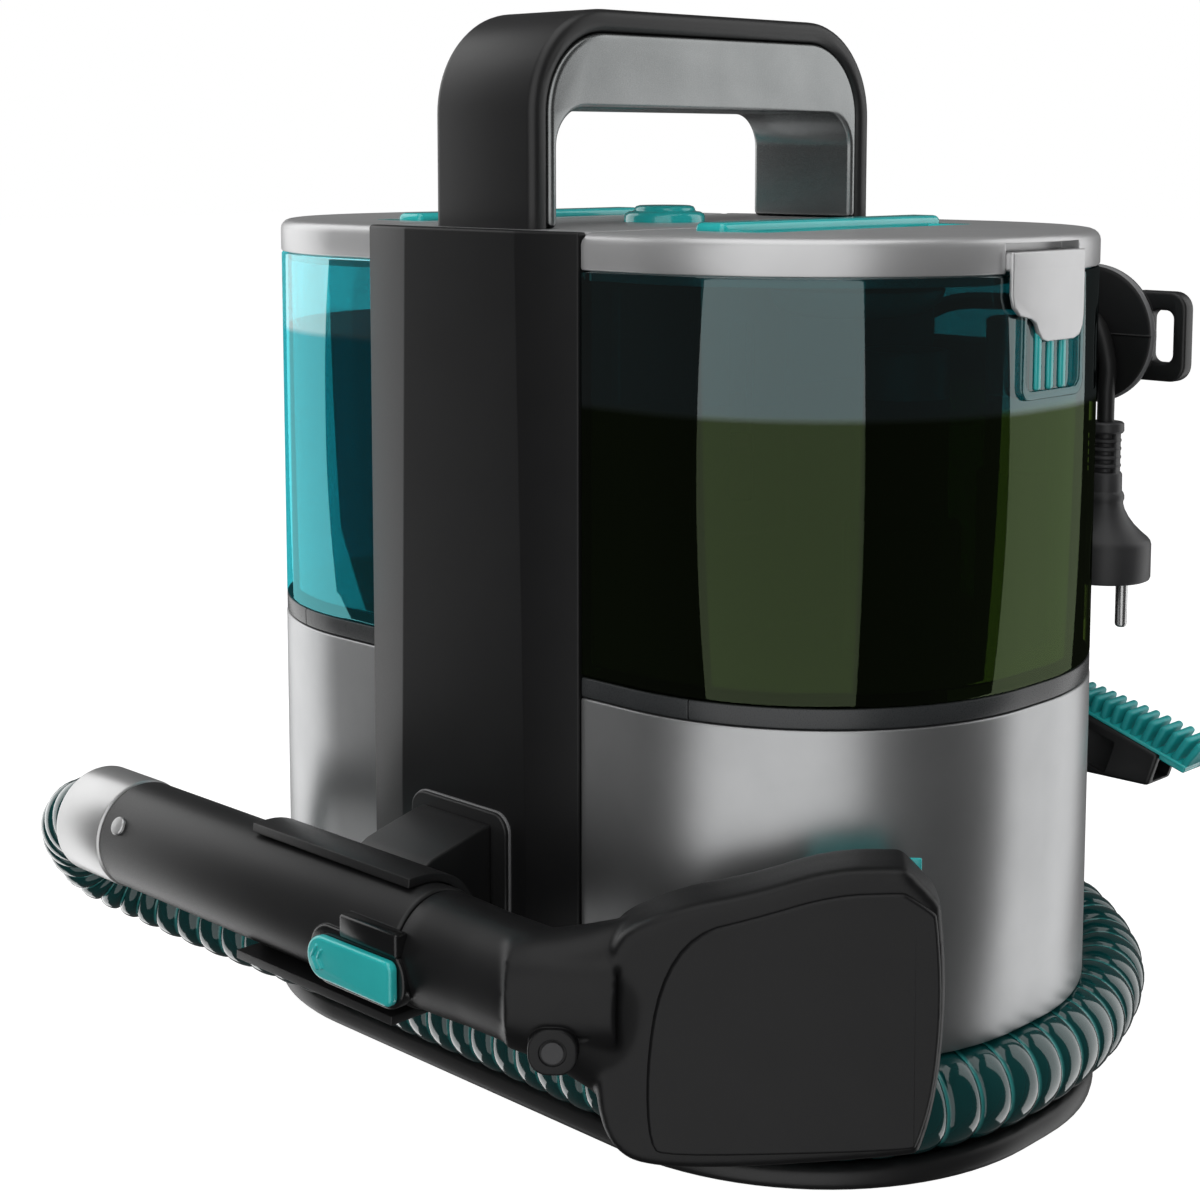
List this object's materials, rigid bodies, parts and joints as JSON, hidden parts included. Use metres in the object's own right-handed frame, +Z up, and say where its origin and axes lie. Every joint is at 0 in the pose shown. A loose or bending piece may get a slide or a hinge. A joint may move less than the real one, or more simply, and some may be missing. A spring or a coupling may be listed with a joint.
{
  "type": "spot extractor",
  "caption": "Portable wet spot cleaner: a base with a hose channel, lift-out clean and dirty water tanks either side of a spine with an arch handle, and a docked hand tool.",
  "frame": {"origin": "centre of the underside of the base, on the floor", "axes": "+Z up; the front, where the hand tool docks, is -Y; the dirty water tank is on +X"},
  "size_m": [0.4175, 0.3415, 0.4],
  "materials": {
    "black_plastic": "fine matte grain",
    "gloss_black": "satin black",
    "silver_plastic": "satin silver paint",
    "teal_plastic": "gloss teal",
    "brush_teal": "nylon tufts",
    "collar_silver": "satin",
    "sleeve_grey": "satin dark grey",
    "clean_tank_clear": "clear teal plastic",
    "dirty_tank_clear": "smoke teal plastic",
    "band_grey": "dark grey",
    "inner_black": "moulded",
    "valve_white": "moulded",
    "float_orange": "moulded",
    "rubber_black": "rubber",
    "cord_black": "soft vinyl",
    "hose_teal": "clear teal vinyl",
    "steel": "zinc",
    "motor_metal": "plain",
    "fan_alloy": "plain",
    "board_green": "coated board"
  },
  "bodies": {
    "root": {"base_tray": "black_plastic", "rubber_feet": "rubber_black", "base_screws": "steel", "chassis_deck": "inner_black", "lower_shell_left": "silver_plastic", "lower_shell_right": "silver_plastic", "spine_core": "black_plastic", "spine_front_cover": "black_plastic", "spine_rear_cover": "black_plastic", "spine_top": "silver_plastic", "handle_outer_shell": "black_plastic", "handle_grip_shell": "silver_plastic", "handle_screws": "steel", "dock_plate": "black_plastic", "dock_cradle": "black_plastic", "motor": "motor_metal", "fan_housing": "inner_black", "suction_duct": "inner_black", "pump": "inner_black", "circuit_board": "board_green", "clean_valve_seat": "inner_black", "hose_port": "black_plastic", "hose_clips": "black_plastic", "cord_hook_disc": "black_plastic", "cord_hooks": "black_plastic", "cord_gland": "black_plastic", "crevice_holder": "black_plastic", "power_lead": "cord_black", "power_hank": "cord_black", "power_tail": "cord_black", "plug_body": "cord_black", "plug_pins": "steel", "suction_hose": "hose_teal"},
    "fan": {"fan_rotor": "fan_alloy"},
    "clean_tank": {"clean_tank": "clean_tank_clear", "clean_band": "band_grey"},
    "clean_valve": {"clean_outlet_valve": "valve_white"},
    "clean_lid": {"clean_lid": "silver_plastic"},
    "clean_bail": {"clean_bail": "teal_plastic"},
    "dirty_tank": {"dirty_tank": "dirty_tank_clear", "dirty_band": "band_grey", "dirty_inlet_tube": "inner_black"},
    "dirty_lid": {"dirty_lid": "silver_plastic", "float_cage": "inner_black"},
    "dirty_bail": {"dirty_bail": "teal_plastic"},
    "dirty_latch": {"dirty_latch": "silver_plastic"},
    "float": {"float": "float_orange"},
    "power_button": {"power_button": "teal_plastic"},
    "hand_tool": {"tool_collar": "collar_silver", "tool_tube": "black_plastic", "tool_sleeve": "sleeve_grey"},
    "trigger": {"tool_trigger": "teal_plastic"},
    "head_latch": {"tool_latch": "teal_plastic"},
    "nozzle": {"nozzle_neck": "black_plastic", "nozzle_shell": "black_plastic", "nozzle_cover": "gloss_black", "nozzle_brush": "brush_teal", "neck_screw": "steel"},
    "crevice_tool": {"crevice_body": "black_plastic", "crevice_brush": "brush_teal"}
  },
  "joints": [
    {"name": "fan_spin", "type": "hinge", "parent": "root", "child": "fan", "pos_m": [0.118, 0, 0.08], "axis": [0, 0, 1], "continuous": true},
    {"name": "clean_tank_lift", "type": "slide", "parent": "root", "child": "clean_tank", "axis": [0, 0, 1], "range_m": [0, 0.18]},
    {"name": "clean_valve_open", "type": "slide", "parent": "clean_tank", "child": "clean_valve", "axis": [0, 0, 1], "range_m": [0, 0.004], "stiffness_N_per_m": 60, "springref_m": -0.004},
    {"name": "clean_lid_lift", "type": "slide", "parent": "clean_tank", "child": "clean_lid", "axis": [0, 0, 1], "range_m": [0, 0.06]},
    {"name": "clean_bail_fold", "type": "hinge", "parent": "clean_lid", "child": "clean_bail", "pos_m": [-0.1, 0, 0.3195], "axis": [0, -1, 0], "range_deg": [0, 90]},
    {"name": "dirty_tank_lift", "type": "slide", "parent": "root", "child": "dirty_tank", "axis": [0, 0, 1], "range_m": [0, 0.18]},
    {"name": "dirty_lid_lift", "type": "slide", "parent": "dirty_tank", "child": "dirty_lid", "axis": [0, 0, 1], "range_m": [0, 0.1]},
    {"name": "dirty_bail_fold", "type": "hinge", "parent": "dirty_lid", "child": "dirty_bail", "pos_m": [0.1, 0, 0.3195], "axis": [0, 1, 0], "range_deg": [0, 90]},
    {"name": "dirty_latch_open", "type": "hinge", "parent": "dirty_lid", "child": "dirty_latch", "pos_m": [0.1718, 0, 0.312], "axis": [0, -1, 0], "range_deg": [0, 25], "stiffness_Nm_per_rad": 0.05, "springref_deg": -5.73},
    {"name": "float_rise", "type": "slide", "parent": "dirty_lid", "child": "float", "axis": [0, 0, 1], "range_m": [0, 0.045]},
    {"name": "power_press", "type": "slide", "parent": "root", "child": "power_button", "axis": [0, 0, -1], "range_m": [0, 0.003], "stiffness_N_per_m": 400, "springref_m": -0.002},
    {"name": "tool_lift_off", "type": "slide", "parent": "root", "child": "hand_tool", "axis": [0, -1, 0], "range_m": [0, 0.1], "deforming": ["suction_hose"]},
    {"name": "trigger_pull", "type": "hinge", "parent": "hand_tool", "child": "trigger", "pos_m": [-0.068, -0.146, 0.079], "axis": [0, 0, -1], "range_deg": [0, 6], "stiffness_Nm_per_rad": 0.6, "springref_deg": -5.73},
    {"name": "head_release", "type": "slide", "parent": "hand_tool", "child": "head_latch", "axis": [-1, 0, 0], "range_m": [0, 0.005], "stiffness_N_per_m": 150, "springref_m": -0.004},
    {"name": "nozzle_pull_off", "type": "slide", "parent": "hand_tool", "child": "nozzle", "axis": [1, 0, 0], "range_m": [0, 0.04]},
    {"name": "crevice_pull_off", "type": "slide", "parent": "root", "child": "crevice_tool", "axis": [0.9511, 0, -0.309], "range_m": [0, 0.06]}
  ]
}
